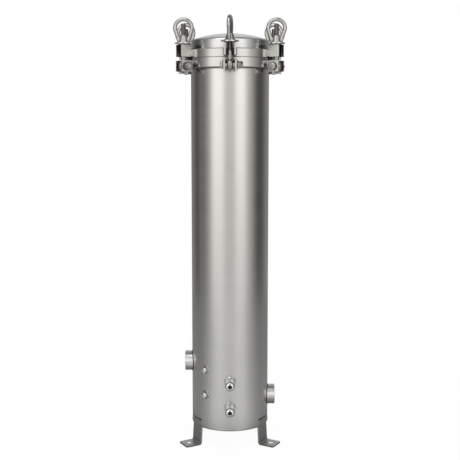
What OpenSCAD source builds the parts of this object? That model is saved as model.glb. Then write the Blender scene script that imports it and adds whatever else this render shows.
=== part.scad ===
/* [Vessel] */
// Outside diameter of the shell
shell_od = 250; // [240:1:300]
// Wall thickness of the shell and of the domed lid
wall = 3; // [2:0.5:4]
// Thickness of the flat bottom plate
bottom_t = 5; // [4:0.5:8]
// Height of the underside of the bottom plate above the lower edge of the vessel
bottom_rise = 27; // [26:1:32]
// Thickness of the ring that closes that lower edge
base_ring_t = 5; // [4:0.5:8]
// Radial width of that ring
base_ring_w = 30; // [20:1:50]
// Height from the vessel bottom to the underside of the tube sheet
tube_sheet_h = 128; // [126:1:200]
// Thickness of the tube sheet between the two chambers
tube_sheet_t = 12; // [8:0.5:16]
// Distance of the upper girth seam above the inlet coupling
seam_rise = 12; // [8:1:40]
// Room above the cartridges, up to the lid joint
head_room = 19; // [18:1:60]

/* [Lid joint] */
// Radial width of the two flange rings
flange_w = 22; // [18:0.5:30]
// Thickness of the ring on the body
body_flange_t = 30; // [20:0.5:36]
// Thickness of the ring on the lid
lid_flange_t = 26; // [18:0.5:32]
// Chamfer on the outer edges of both rings
flange_chamfer = 1.2; // [0.5:0.1:2]
// Section diameter of the O-ring that seals the joint
seal_d = 5; // [3:0.1:6]
// Width of the O-ring groove
seal_groove_w = 6.6; // [6.2:0.1:8]
// Land between the shell and the O-ring groove
seal_land = 7.7; // [5:0.1:9]

/* [Lid] */
// Straight part of the lid above its ring
lid_skirt = 27; // [10:0.5:60]
// Outer radius of the knuckle between skirt and crown
knuckle_r = 8; // [6:0.5:30]
// Outer radius of the shallow crown
crown_r = 355; // [200:5:600]

/* [Clamps] */
// Distance from the flange face to the pivot axis
pin_setback = 19; // [18.7:0.1:26]
// Depth of the pivot axis below the lid joint
pin_drop = 26; // [25.2:0.1:40]
// Diameter of the pivot bolt
pin_d = 12; // [10:1:14]
// Radial reach of the lug cheeks from the flange face
lug_reach = 36; // [32:0.5:44]
// Thickness of each cheek plate
cheek_t = 5; // [4:0.5:8]
// Clear gap between the cheeks on the body
lower_gap = 30; // [24:0.5:36]
// Clear gap between the cheeks on the lid
upper_gap = 26; // [20:0.5:32]
// Depth of the top of the body cheeks below the joint
lower_lug_top = 8; // [4:0.5:12]
// Height of the body cheeks
lower_lug_h = 34; // [33:0.5:44]
// Height of the bottom of the lid cheeks above the joint
upper_lug_start = 3; // [1:0.5:8]
// Height of the lid cheeks
upper_lug_h = 39; // [30:0.5:60]
// Leg of the fillet weld between cheek and ring
weld_leg = 6; // [3:0.5:8]
// Width across the flats of the pivot bolt heads and nuts
pivot_flats = 19; // [17:1:22]
// Height of the pivot bolt head
pivot_head_h = 8; // [6:0.5:10]
// Height of the main pivot nut
pivot_nut_h = 10; // [8:0.5:12]
// Height of the jam nut outside it
jam_nut_h = 6; // [4:0.5:8]
// Length of the pivot bolt past the jam nut
pivot_end = 1; // [0.5:0.5:4]
// Outside diameter of the pivot washers
pivot_washer_od = 24; // [20:0.5:28]
// Thickness of the pivot washers
pivot_washer_t = 2.5; // [1:0.1:3]

/* [Swing bolts] */
// Diameter of the threaded stud
stud_d = 16; // [12:0.5:18]
// Length from the pivot axis to the end of the stud
stud_len = 130; // [124:1:134]
// Outside diameter of the eye
eye_od = 36; // [30:0.5:37]
// Thickness of the eye
eye_t = 18; // [16:0.5:22]
// Bevel on the eye and on the end of the stud
bolt_bevel = 2; // [1:0.5:3]

/* [Eye nuts] */
// Outside diameter of the washer under each eye nut
washer_od = 55; // [44:1:60]
// Thickness of that washer
washer_t = 3.5; // [2:0.1:6]
// Diameter of the collar at the foot of the nut
collar_d = 35; // [30:0.5:40]
// Height of that collar
collar_h = 3; // [2:0.5:6]
// Diameter of the conical hub where it leaves the collar
hub_base_d = 30; // [26:0.5:34]
// Diameter of the hub at its top
hub_top_d = 20; // [19:0.5:25]
// Height of the hub, collar included
hub_h = 21.5; // [16:0.5:24]
// Diameter of the rod that the loop is bent from
loop_rod_d = 12; // [8:0.5:12]
// Outside diameter of the loop
loop_od = 64; // [60:1:72]
// Height of the middle of the loop above the washer
loop_rise = 45; // [42:1:56]
// Distance from the stud axis to the foot of each loop leg
loop_foot = 12; // [10:0.5:13]

/* [Ports] */
// Outside diameter of the inlet and outlet couplings
nozzle_od = 65; // [62:0.5:76]
// Diameter of the threaded bore of these couplings
nozzle_bore_d = 56.66; // [50:0.01:58]
// Distance that these couplings stand out of the shell
nozzle_out = 23; // [12:0.5:60]
// Distance that these couplings reach in from the shell
nozzle_in = 13; // [10:0.5:15]
// Height of the inlet axis above the tube sheet
inlet_rise = 62; // [50:1:120]
// Height of the outlet axis above the vessel bottom
outlet_h = 87; // [82:1:90]
// Outside diameter of the drain couplings
drain_od = 30; // [28:0.5:34]
// Diameter of the threaded bore of the drain couplings
drain_bore_d = 18.6; // [17:0.1:19]
// Distance that the drain couplings stand out of the shell
drain_out = 50; // [20:1:80]
// Height of the upper drain axis above the tube sheet
upper_drain_rise = 24; // [20:1:40]
// Height of the lower drain axis above the vessel bottom
lower_drain_h = 79; // [60:1:100]
// Diameter of the domed head of the drain plugs
drain_head_d = 27; // [25:0.5:28]
// Height of the domed head of the drain plugs
drain_head_h = 7; // [6:0.5:10]
// Height of the straight rim under the dome of that head
drain_rim_h = 2; // [1:0.5:4]
// Length of the drain plugs inside their couplings
drain_shank = 16; // [10:1:30]
// Width across the flats of the socket in the drain plugs
drain_key = 12; // [10:0.5:13]
// Depth of that socket
drain_key_depth = 6.5; // [4:0.5:10]
// Outside diameter of the gauge couplings
gauge_od = 22; // [20:0.5:26]
// Diameter of the threaded bore of the gauge couplings
gauge_bore_d = 15; // [12:0.1:15.4]
// Distance that the gauge couplings stand out of the shell
gauge_out = 5; // [4:0.5:20]
// Angle from the front to the gauge ports, to the left
gauge_angle = 39; // [30:1:50]
// Height of the upper gauge port above the tube sheet
upper_gauge_rise = 57; // [50:1:70]
// Height of the lower gauge port above the vessel bottom
lower_gauge_h = 114; // [80:1:114]
// Width across the flats of the gauge plugs
gauge_flats = 19; // [18:0.5:20]
// Height of the hexagon of the gauge plugs
gauge_head_h = 8; // [6:0.5:12]
// Length of the gauge plugs inside their couplings
gauge_shank = 9; // [6:0.5:12]
// Thickness of the sealing rings under the plugs
plug_seal_t = 1.5; // [1:0.1:2.5]

/* [Legs] */
// Height of the vessel bottom above the floor
leg_h = 60; // [40:1:120]
// Height of the slots in the lower edge of the vessel that the legs are set into
leg_lap = 22; // [15:1:23]
// Width of the flat bar of the legs
leg_w = 54; // [40:1:60]
// Thickness of the flat bar of the legs
leg_t = 5; // [4:0.5:8]
// Inner radius of the bend between leg and foot
leg_bend_r = 4; // [2:0.5:8]
// Outward lean of the legs, in degrees
leg_lean = 3.5; // [0:0.5:8]
// Distance from the shell to the outer edge of each foot
foot_reach = 52; // [46:1:80]
// Distance from that edge to the anchor bolt hole
foot_hole_setback = 22; // [16:1:24]
// Diameter of the anchor bolt holes
foot_hole_d = 13.5; // [10:0.5:18]
// Corner radius of the feet
foot_corner_r = 5; // [2:0.5:10]

/* [Cartridges] */
// Length of each cartridge from shoulder to top cap
cartridge_len = 1016; // [508:1:1270]
// Diameter of the filter medium
cartridge_d = 64; // [56:1:66]
// Diameter of the end caps
cap_d = 66; // [58:1:70]
// Thickness of the end caps
cap_t = 14; // [8:1:24]
// Diameter of the hollow core
core_d = 28; // [20:1:32]
// Clear distance between the shell and the end caps of the six outer cartridges
cartridge_room = 9; // [7:0.5:12]
// Diameter of the spigot at the foot of each cartridge
spigot_d = 44; // [40:0.5:46]
// Length of that spigot
spigot_len = 25; // [20:1:34]
// Section diameter of the O-rings on the spigots
spigot_seal_d = 3.4; // [2:0.1:4]
// Wall of the sockets that the spigots plug into
socket_wall = 4; // [3:0.5:6]
// Height of the sockets above the tube sheet
socket_rise = 12; // [8:1:20]

/* [Hold-down] */
// Clear distance between the hold-down plate and the shell
hold_plate_room = 6; // [5.5:0.5:9]
// Thickness of the hold-down plate
hold_plate_t = 3; // [2:0.5:5]
// Diameter of the pilot on top of each cartridge
pilot_d = 20; // [12:0.5:30]
// Height of that pilot
pilot_h = 8; // [6:0.5:12]
// Diameter of the tie rods
tie_rod_d = 10; // [8:0.5:12]
// Distance from the edge of the hold-down plate to the middle of the tie rods
tie_rod_inset = 13; // [12:0.5:18]
// Height of the nuts on the tie rods
tie_nut_h = 8; // [6:0.5:9]
// Width across the flats of these nuts
tie_nut_flats = 17; // [15:0.5:19]
// Length of the tie rods past their nuts
tie_rod_end = 3; // [1:0.5:5]

/* [Hidden] */

// Clearances
weld_gap = 0.1;        // between pieces that are welded or tightened together
face_gap = 0.3;        // between seated faces that part when the lid opens
run_gap = 0.08;        // radial, between a thread or pin and its running bore
slip_gap = 0.5;        // radial, where a bolt passes a plain hole
past = 1;              // how far a cut runs past the face that it opens
loop_step = 0.15;      // radial step where the bent arc of a loop meets its straight legs
seal_inset = 0.5;      // how far the rim of a sealing ring stays inside the plug head
slot_gap = 0.8;        // over the top of each leg in its slot

// Proportions
nut_crown = 0.9;       // share of a nut's corner width that stays flat on top
head_crown = 0.75;     // the same share for a bolt head
jam_turn = 17;         // turn of the jam nut against the main nut, in degrees
spigot_seal_shares = [0.35, 0.75];  // places of the two O-rings along a spigot
groove_share = 1.3;    // width of an O-ring groove over the section of its ring

// Resolution of the curves
arc_fn = 1080;
fine = 180;
round_fn = 72;
small_fn = 48;
bend_steps = 12;       // flats along the bend of a leg

// Fixed pattern: six clamps and three legs, front at azimuth 0, then anticlockwise seen from above
clamp_azimuths = [0, 60, 120, 180, 240, 300];
leg_azimuths = [300, 60, 180];
tie_rod_azimuths = [90, 210, 330];
inlet_azimuth = 270;
outlet_azimuth = 90;
// Heading of the width of each eye nut loop, from the X axis
loop_headings = [81, 0, -20, 90, 20, 0];

// Radii from the vessel axis
shell_r = shell_od/2;
shell_ir = shell_r - wall;
flange_r = shell_r + flange_w;
pin_r = flange_r + pin_setback;
lug_r = flange_r + lug_reach;
seal_r = shell_r + seal_land + seal_groove_w/2;
foot_r = shell_r + foot_reach;
foot_hole_r = foot_r - foot_hole_setback;
socket_ir = spigot_d/2 + slip_gap;
socket_r = socket_ir + socket_wall;
leg_face_r = sqrt(shell_r*shell_r - leg_w*leg_w/4);
cartridge_pitch = shell_ir - cap_d/2 - cartridge_room;
hold_plate_r = shell_ir - hold_plate_room;
tie_rod_pitch = hold_plate_r - tie_rod_inset;

// Heights above the floor
vessel_z = leg_h;
shell_z = vessel_z + base_ring_t;
bottom_z = vessel_z + bottom_rise;
sheet_z = vessel_z + tube_sheet_h;
sheet_top = sheet_z + tube_sheet_t;
socket_top = sheet_top + socket_rise;
socket_z = socket_top - spigot_len - 2*slip_gap;
spigot_seal_zs = [for (k = spigot_seal_shares) socket_top - spigot_len*(1 - k)];
cartridge_top = socket_top + cartridge_len;
joint_z = cartridge_top + head_room;
lid_top_edge = joint_z + lid_flange_t + lid_skirt;
pin_z = joint_z - pin_drop;
lug_top = joint_z + upper_lug_start + upper_lug_h;
washer_z = lug_top + face_gap;
nut_z = washer_z + washer_t;
inlet_z = sheet_top + inlet_rise;
outlet_z = vessel_z + outlet_h;
lower_seam_z = sheet_z + tube_sheet_t/2;
upper_seam_z = inlet_z + nozzle_od/2 + seam_rise;
drain_zs = [sheet_top + upper_drain_rise, vessel_z + lower_drain_h];
gauge_zs = [sheet_top + upper_gauge_rise, vessel_z + lower_gauge_h];

// Radius of the circle round a hexagon of width f across its flats
function hex_r(f) = f/2/cos(30);
// Places of the seven cartridges: one in the middle and six round it
cartridge_places = concat([[0, 0]],
    [for (a = clamp_azimuths) [cartridge_pitch*sin(a), -cartridge_pitch*cos(a)]]);

// Pieces are modelled at the front of the vessel, where outward is -Y, and turned to their azimuth
module at_azimuth(a) {
    rotate([0, 0, a]) children();
}

// A flat profile, x outward and y up, made t thick along the tangent
module radial_plate(t) {
    rotate([90, 0, -90]) linear_extrude(t, center = true) children();
}

// A round bar along the radius, from near to far
module radial_rod(r, near, far, fn = small_fn) {
    translate([0, -near, 0]) rotate([90, 0, 0]) cylinder(r = r, h = far - near, $fn = fn);
}

// A bar along the tangent, from x0 to x1
module tangent_rod(r, x0, x1, fn = small_fn) {
    translate([x0, 0, 0]) rotate([0, 90, 0]) cylinder(r = r, h = x1 - x0, $fn = fn);
}

// Hexagon along Z, its top corners turned off to the given share of their width
module hex_prism(flats, h, bore_r = 0, crown = nut_crown) {
    drop = hex_r(flats)*(1 - crown);
    difference() {
        intersection() {
            cylinder(r = hex_r(flats), h = h, $fn = 6);
            union() {
                cylinder(r = hex_r(flats), h = h - drop/2, $fn = small_fn);
                translate([0, 0, h - drop/2])
                    cylinder(r1 = hex_r(flats), r2 = hex_r(flats) - drop, h = drop/2, $fn = small_fn);
            }
        }
        if (bore_r > 0) translate([0, 0, -past]) cylinder(r = bore_r, h = h + 2*past, $fn = small_fn);
    }
}

// A ring on the vessel axis that stands on height z
module ring(r_in, r_out, z, h, fn = fine) {
    translate([0, 0, z]) difference() {
        cylinder(r = r_out, h = h, $fn = fn);
        translate([0, 0, -past]) cylinder(r = r_in, h = h + 2*past, $fn = fn);
    }
}

// Places a port at its azimuth and height
module port_at(a, z) {
    at_azimuth(a) translate([0, 0, z]) children();
}

module each_drain() {
    for (z = drain_zs) port_at(0, z) children();
}

module each_gauge() {
    for (z = gauge_zs) port_at(-gauge_angle, z) children();
}

module each_clamp() {
    for (a = clamp_azimuths) at_azimuth(a) children();
}

// Vessel body, rolled in three courses
module course(z0, z1) {
    color("silver") ring(shell_ir, shell_r, z0, z1 - z0);
}

module port_hole(a, z, od, fn = small_fn) {
    port_at(a, z) radial_rod(od/2 + weld_gap, shell_ir - nozzle_in, shell_r + past, fn);
}

// Slots in the lower edge for the legs, whose faces lie on chords of the shell
module leg_slots() {
    w = leg_w + 2*weld_gap;
    near = leg_face_r - leg_t - weld_gap;
    h = leg_lap + leg_t*sin(leg_lean) + slot_gap + past;
    for (a = leg_azimuths) at_azimuth(a) translate([-w/2, -shell_r - past, vessel_z - past])
        cube([w, shell_r + past - near, h]);
}

module shell() {
    course(upper_seam_z, joint_z);
}

module inlet_course() {
    difference() {
        course(lower_seam_z, upper_seam_z);
        port_hole(inlet_azimuth, inlet_z, nozzle_od, fine);
        port_hole(0, drain_zs[0], drain_od);
        port_hole(-gauge_angle, gauge_zs[0], gauge_od);
    }
}

module outlet_course() {
    difference() {
        course(shell_z, lower_seam_z);
        port_hole(outlet_azimuth, outlet_z, nozzle_od, fine);
        port_hole(0, drain_zs[1], drain_od);
        port_hole(-gauge_angle, gauge_zs[1], gauge_od);
        leg_slots();
    }
}

module base_ring() {
    color("silver") difference() {
        ring(shell_r - base_ring_w, shell_r, vessel_z, base_ring_t);
        leg_slots();
    }
}

module bottom_plate() {
    color("silver") translate([0, 0, bottom_z]) cylinder(r = shell_ir - weld_gap, h = bottom_t, $fn = fine);
}

// Outline of a flange ring from y = 0 up, with its two outer edges bevelled
module flange_profile(t) {
    c = flange_chamfer;
    r0 = shell_r + weld_gap;
    polygon([[r0, 0], [flange_r - c, 0], [flange_r, c], [flange_r, t - c], [flange_r - c, t], [r0, t]]);
}

module body_flange() {
    depth = seal_d + weld_gap;
    color("silver") difference() {
        translate([0, 0, joint_z - body_flange_t]) rotate_extrude($fn = fine) flange_profile(body_flange_t);
        ring(seal_r - seal_groove_w/2, seal_r + seal_groove_w/2, joint_z - depth, depth + past);
    }
}

module lid_seal() {
    color("#202022") translate([0, 0, joint_z - weld_gap/2 - seal_d/2])
        rotate_extrude($fn = fine) translate([seal_r, 0]) circle(r = seal_d/2, $fn = small_fn);
}

// Fillet weld in the corner between the outer side of a cheek and the ring
module cheek_weld(z0, z1, x) {
    translate([x, 0, z0]) linear_extrude(z1 - z0)
        polygon([[0, -shell_r], [0, -flange_r - weld_leg], [weld_leg, -flange_r], [weld_leg, -shell_r]]);
}

// Pair of cheeks with their welds, cut to the round face of the ring that carries them
module cheek_pair(gap, weld_z0, weld_z1) {
    difference() {
        for (s = [0, 1]) mirror([s, 0, 0]) {
            translate([(gap + cheek_t)/2, 0, 0]) radial_plate(cheek_t) children();
            cheek_weld(weld_z0, weld_z1, gap/2 + cheek_t);
        }
        cylinder(r = flange_r + weld_gap, h = 2*joint_z, $fn = fine);
    }
}

module lower_lugs() {
    z1 = joint_z - lower_lug_top;
    z0 = z1 - lower_lug_h;
    ring_z = joint_z - body_flange_t + flange_chamfer;
    hole_r = pin_d/2 + face_gap;
    color("silver") each_clamp() cheek_pair(lower_gap, max(z0, ring_z), z1)
        difference() {
            translate([shell_r, z0]) square([lug_r - shell_r, lower_lug_h]);
            translate([pin_r, pin_z]) circle(r = hole_r, $fn = small_fn);
        }
}

// The outer half of the top follows an arc about the pivot, so that the washer can swing off it
module upper_lugs() {
    z0 = joint_z + upper_lug_start;
    ring_top = joint_z + lid_flange_t - flange_chamfer;
    color("silver") each_clamp() cheek_pair(upper_gap, z0, min(ring_top, lug_top)) {
        union() {
            translate([shell_r, z0]) square([pin_r - shell_r, upper_lug_h]);
            intersection() {
                translate([pin_r - weld_gap, z0]) square([lug_r - pin_r + weld_gap, upper_lug_h]);
                translate([pin_r, pin_z]) circle(r = lug_top - pin_z, $fn = arc_fn);
            }
        }
    }
}

module tube_sheet() {
    color("silver") difference() {
        translate([0, 0, sheet_z]) cylinder(r = shell_ir - weld_gap, h = tube_sheet_t, $fn = fine);
        for (p = cartridge_places) translate([p[0], p[1], sheet_z - past])
            cylinder(r = socket_r + weld_gap, h = tube_sheet_t + 2*past, $fn = round_fn);
    }
}

module cartridge_sockets() {
    h = socket_top - socket_z;
    color("gainsboro") for (p = cartridge_places)
        translate([p[0], p[1], 0]) ring(socket_ir, socket_r, socket_z, h, round_fn);
}

// Threaded couplings and their plugs
module nozzle(a, z) {
    color("silver") port_at(a, z) difference() {
        radial_rod(nozzle_od/2, shell_r - nozzle_in, shell_r + nozzle_out, fine);
        radial_rod(nozzle_bore_d/2, shell_r - nozzle_in - past, shell_r + nozzle_out + past, fine);
    }
}

module inlet_nozzle() {
    nozzle(inlet_azimuth, inlet_z);
}

module outlet_nozzle() {
    nozzle(outlet_azimuth, outlet_z);
}

module coupling(od, bore_d, out) {
    reach_in = wall + past;
    difference() {
        radial_rod(od/2, shell_r - reach_in, shell_r + out);
        radial_rod(bore_d/2, shell_r - reach_in - past, shell_r + out + past);
    }
}

module drain_couplings() {
    color("silver") each_drain() coupling(drain_od, drain_bore_d, drain_out);
}

module gauge_couplings() {
    color("silver") each_gauge() coupling(gauge_od, gauge_bore_d, gauge_out);
}

// Shank of a plug, from the seated side of its head into the bore
module plug_shank(bore_d, out, length) {
    radial_rod(bore_d/2 - run_gap, shell_r + out - length, shell_r + out + plug_seal_t);
}

// Domed plug with a hexagon socket
module drain_plugs() {
    seat = shell_r + drain_out + plug_seal_t;
    rise = drain_head_h - drain_rim_h;
    dome_r = (pow(drain_head_d/2, 2) + rise*rise)/(2*rise);
    key_floor = seat + drain_head_h - drain_key_depth;
    color("gainsboro") each_drain() difference() {
        union() {
            plug_shank(drain_bore_d, drain_out, drain_shank);
            intersection() {
                radial_rod(drain_head_d/2, seat, seat + drain_head_h);
                translate([0, -(seat + drain_head_h - dome_r), 0]) sphere(r = dome_r, $fn = round_fn);
            }
        }
        translate([0, -key_floor, 0]) rotate([90, 0, 0])
            cylinder(r = hex_r(drain_key), h = drain_key_depth + past, $fn = 6);
    }
}

module gauge_plugs() {
    seat = shell_r + gauge_out + plug_seal_t;
    color("gainsboro") each_gauge() {
        plug_shank(gauge_bore_d, gauge_out, gauge_shank);
        translate([0, -seat, 0]) rotate([90, 0, 0]) hex_prism(gauge_flats, gauge_head_h);
    }
}

// Sealing ring between the end of a coupling and the head of its plug
module plug_seal(od, bore_d, out) {
    difference() {
        radial_rod(od/2, shell_r + out, shell_r + out + plug_seal_t);
        radial_rod(bore_d/2, shell_r + out - past, shell_r + out + plug_seal_t + past);
    }
}

module plug_seals() {
    color("#303032") {
        each_drain() plug_seal(drain_head_d - 2*seal_inset, drain_bore_d + weld_gap, drain_out);
        each_gauge() plug_seal(gauge_flats - 2*seal_inset, gauge_bore_d + weld_gap, gauge_out);
    }
}

// Leg bent from flat bar: a strip in its slot in the lower edge of the vessel and a foot turned outward
module leg_profile() {
    bend_out = leg_bend_r + leg_t;
    step = (90 - leg_lean)/bend_steps;
    strip_len = (vessel_z + leg_lap - bend_out + bend_out*sin(leg_lean))/cos(leg_lean);
    bend_x = leg_face_r + leg_bend_r*cos(leg_lean) + strip_len*sin(leg_lean);
    centre = [bend_x, bend_out];
    up = strip_len*[-sin(leg_lean), cos(leg_lean)];
    outer = [for (i = [0:bend_steps]) centre - bend_out*[sin(i*step), cos(i*step)]];
    inner = [for (i = [bend_steps:-1:0]) centre - leg_bend_r*[sin(i*step), cos(i*step)]];
    top = [outer[bend_steps] + up, inner[0] + up];
    polygon(concat([[foot_r, 0]], outer, top, inner, [[foot_r, leg_t]]));
}

module leg(a) {
    r = foot_corner_r;
    deep = leg_t + 2*past;
    color("dimgray") at_azimuth(a) difference() {
        radial_plate(leg_w) leg_profile();
        translate([0, -foot_hole_r, -past]) cylinder(r = foot_hole_d/2, h = deep, $fn = small_fn);
        for (s = [0, 1]) mirror([s, 0, 0]) translate([leg_w/2 - r, r - foot_r, -past]) difference() {
            translate([0, -r - past, 0]) cube([r + past, r + past, deep]);
            cylinder(r = r, h = deep, $fn = small_fn);
        }
    }
}

// Lid: straight skirt, knuckle and crown, one wall thick
module head_outline(r, knuckle, crown, z0, z1) {
    crown_z = z1 - sqrt(pow(crown - knuckle, 2) - pow(r - knuckle, 2));
    tangent_x = (r - knuckle)*crown/(crown - knuckle);
    knuckle_x = r - knuckle;
    translate([0, z0]) square([r, z1 - z0]);
    translate([0, z1 - knuckle]) square([knuckle_x, knuckle]);
    translate([knuckle_x, z1]) circle(r = knuckle, $fn = round_fn);
    intersection() {
        translate([0, z1 - knuckle]) square([tangent_x, crown]);
        translate([0, crown_z]) circle(r = crown, $fn = arc_fn);
    }
}

module lid_dome() {
    color("lightsteelblue") rotate_extrude($fn = fine) intersection() {
        difference() {
            head_outline(shell_r, knuckle_r, crown_r, joint_z, lid_top_edge);
            head_outline(shell_ir, knuckle_r - wall, crown_r - wall, joint_z - past, lid_top_edge);
        }
        translate([0, joint_z]) square([shell_r + past, crown_r]);
    }
}

module lid_flange() {
    color("silver") translate([0, 0, joint_z]) rotate_extrude($fn = fine) flange_profile(lid_flange_t);
}

// Clamp hardware
module pivot_bolts() {
    head_x = -lower_gap/2 - cheek_t - pivot_washer_t;
    end_x = lower_gap/2 + cheek_t + pivot_washer_t + pivot_nut_h + jam_nut_h + pivot_end;
    color("gainsboro") each_clamp() translate([0, -pin_r, pin_z]) {
        tangent_rod(pin_d/2, head_x, end_x);
        translate([head_x, 0, 0]) rotate([0, -90, 0]) hex_prism(pivot_flats, pivot_head_h, 0, head_crown);
    }
}

module pivot_washers() {
    x0 = lower_gap/2 + cheek_t;
    x1 = x0 + pivot_washer_t;
    color("gainsboro") each_clamp() translate([0, -pin_r, pin_z]) for (s = [0, 1]) mirror([s, 0, 0])
        difference() {
            tangent_rod(pivot_washer_od/2, x0, x1);
            tangent_rod(pin_d/2 + face_gap, x0 - past, x1 + past);
        }
}

module pivot_nuts() {
    nut_x = lower_gap/2 + cheek_t + pivot_washer_t;
    color("gainsboro") each_clamp() translate([nut_x, -pin_r, pin_z]) rotate([0, 90, 0]) {
        hex_prism(pivot_flats, pivot_nut_h, pin_d/2 + run_gap);
        translate([0, 0, pivot_nut_h + weld_gap]) rotate([0, 0, jam_turn])
            hex_prism(pivot_flats, jam_nut_h, pin_d/2 + run_gap);
    }
}

// Eye, neck and stud of a swing bolt, standing on its pivot axis
module swing_bolt(i) {
    bevel = bolt_bevel;
    color("gainsboro") at_azimuth(clamp_azimuths[i]) translate([0, -pin_r, pin_z]) difference() {
        union() {
            tangent_rod(eye_od/2, -eye_t/2 + bevel, eye_t/2 - bevel, round_fn);
            for (s = [0, 1]) mirror([s, 0, 0]) translate([eye_t/2 - bevel, 0, 0]) rotate([0, 90, 0])
                cylinder(r1 = eye_od/2, r2 = eye_od/2 - bevel, h = bevel, $fn = round_fn);
            cylinder(r = stud_d/2, h = stud_len - bevel, $fn = small_fn);
            translate([0, 0, stud_len - bevel])
                cylinder(r1 = stud_d/2, r2 = stud_d/2 - bevel, h = bevel, $fn = small_fn);
        }
        tangent_rod(pin_d/2 + run_gap, -eye_t/2 - past, eye_t/2 + past);
    }
}

module washer(i) {
    color("gainsboro") at_azimuth(clamp_azimuths[i]) translate([0, -pin_r, 0])
        ring(stud_d/2 + slip_gap, washer_od/2, washer_z, washer_t, round_fn);
}

// Loop of an eye nut: an arc of bent rod with two straight legs that run in to the hub
module nut_loop() {
    rod_r = loop_rod_d/2;
    bend_r = loop_od/2 - rod_r;
    reach = norm([loop_foot, loop_rise]);
    touch = acos(bend_r/reach) - atan2(loop_rise, loop_foot);
    leg_len = sqrt(reach*reach - bend_r*bend_r);
    translate([0, 0, loop_rise]) rotate([90, 0, 0]) rotate([0, 0, touch])
        rotate_extrude(angle = 180 - 2*touch, $fn = round_fn)
            translate([bend_r, 0]) circle(r = rod_r, $fn = small_fn);
    for (s = [0, 1]) mirror([s, 0, 0])
        translate([bend_r*cos(touch), 0, loop_rise + bend_r*sin(touch)]) rotate([0, 180 - touch, 0])
            cylinder(r = rod_r - loop_step, h = leg_len, $fn = small_fn);
}

module eye_nut(i) {
    color("whitesmoke") at_azimuth(clamp_azimuths[i]) translate([0, -pin_r, nut_z])
        rotate([0, 0, loop_headings[i] - clamp_azimuths[i]]) difference() {
            union() {
                nut_loop();
                cylinder(r = collar_d/2, h = collar_h, $fn = round_fn);
                translate([0, 0, collar_h])
                    cylinder(r1 = hub_base_d/2, r2 = hub_top_d/2, h = hub_h - collar_h, $fn = round_fn);
            }
            translate([0, 0, -past]) cylinder(r = stud_d/2 + run_gap, h = hub_h + 2*past, $fn = small_fn);
            translate([0, 0, -loop_rise]) cylinder(r = loop_od, h = loop_rise, $fn = small_fn);
        }
}

// Filter cartridge on its shoulder, with the spigot below it
module cartridge(i) {
    groove_r = socket_ir - run_gap - spigot_seal_d;
    groove_w = spigot_seal_d*groove_share;
    medium_len = cartridge_len - 2*cap_t;
    p = cartridge_places[i];
    color("white") translate([p[0], p[1], socket_top]) difference() {
        union() {
            translate([0, 0, -spigot_len]) cylinder(r = spigot_d/2, h = spigot_len, $fn = round_fn);
            cylinder(r = cap_d/2, h = cap_t, $fn = round_fn);
            translate([0, 0, cap_t]) cylinder(r = cartridge_d/2, h = medium_len, $fn = round_fn);
            translate([0, 0, cartridge_len - cap_t]) cylinder(r = cap_d/2, h = cap_t, $fn = round_fn);
            translate([0, 0, cartridge_len]) cylinder(r = pilot_d/2, h = pilot_h, $fn = small_fn);
        }
        translate([0, 0, -spigot_len - past])
            cylinder(r = core_d/2, h = spigot_len + past + cartridge_len - cap_t, $fn = small_fn);
        for (z = spigot_seal_zs)
            ring(groove_r, spigot_d/2 + past, z - socket_top - groove_w/2, groove_w, round_fn);
    }
}

module cartridge_seals() {
    r = spigot_seal_d/2;
    color("#202022") for (p = cartridge_places) for (z = spigot_seal_zs)
        translate([p[0], p[1], z]) rotate_extrude($fn = round_fn)
            translate([socket_ir - run_gap/2 - r, 0]) circle(r = r, $fn = small_fn);
}

// Plate that holds the cartridges down, on three tie rods
module hold_down_plate() {
    color("gainsboro") difference() {
        translate([0, 0, cartridge_top]) cylinder(r = hold_plate_r, h = hold_plate_t, $fn = fine);
        for (p = cartridge_places) translate([p[0], p[1], cartridge_top - past])
            cylinder(r = pilot_d/2 + slip_gap, h = hold_plate_t + 2*past, $fn = small_fn);
        for (a = tie_rod_azimuths) at_azimuth(a) translate([0, -tie_rod_pitch, cartridge_top - past])
            cylinder(r = tie_rod_d/2 + slip_gap, h = hold_plate_t + 2*past, $fn = small_fn);
    }
}

module tie_rods() {
    top = cartridge_top + hold_plate_t + tie_nut_h + tie_rod_end;
    color("gainsboro") for (a = tie_rod_azimuths) at_azimuth(a) translate([0, -tie_rod_pitch, sheet_top])
        cylinder(r = tie_rod_d/2, h = top - sheet_top, $fn = small_fn);
}

module tie_rod_nuts() {
    color("gainsboro") for (a = tie_rod_azimuths) at_azimuth(a)
        translate([0, -tie_rod_pitch, cartridge_top + hold_plate_t])
            hex_prism(tie_nut_flats, tie_nut_h, tie_rod_d/2 + run_gap);
}

shell();
inlet_course();
outlet_course();
base_ring();
bottom_plate();
body_flange();
lower_lugs();
tube_sheet();
cartridge_sockets();
inlet_nozzle();
outlet_nozzle();
gauge_couplings();
gauge_plugs();
drain_couplings();
drain_plugs();
plug_seals();
leg(leg_azimuths[0]);  // leg_left
leg(leg_azimuths[1]);  // leg_right
leg(leg_azimuths[2]);  // leg_rear
lid_seal();
cartridge(0);  // cartridge_1
cartridge(1);  // cartridge_2
cartridge(2);  // cartridge_3
cartridge(3);  // cartridge_4
cartridge(4);  // cartridge_5
cartridge(5);  // cartridge_6
cartridge(6);  // cartridge_7
cartridge_seals();
hold_down_plate();
tie_rods();
tie_rod_nuts();
pivot_bolts();
pivot_washers();
pivot_nuts();
lid_dome();
lid_flange();
upper_lugs();
swing_bolt(0);  // swing_bolt_1
swing_bolt(1);  // swing_bolt_2
swing_bolt(2);  // swing_bolt_3
swing_bolt(3);  // swing_bolt_4
swing_bolt(4);  // swing_bolt_5
swing_bolt(5);  // swing_bolt_6
washer(0);  // washer_1
washer(1);  // washer_2
washer(2);  // washer_3
washer(3);  // washer_4
washer(4);  // washer_5
washer(5);  // washer_6
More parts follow.
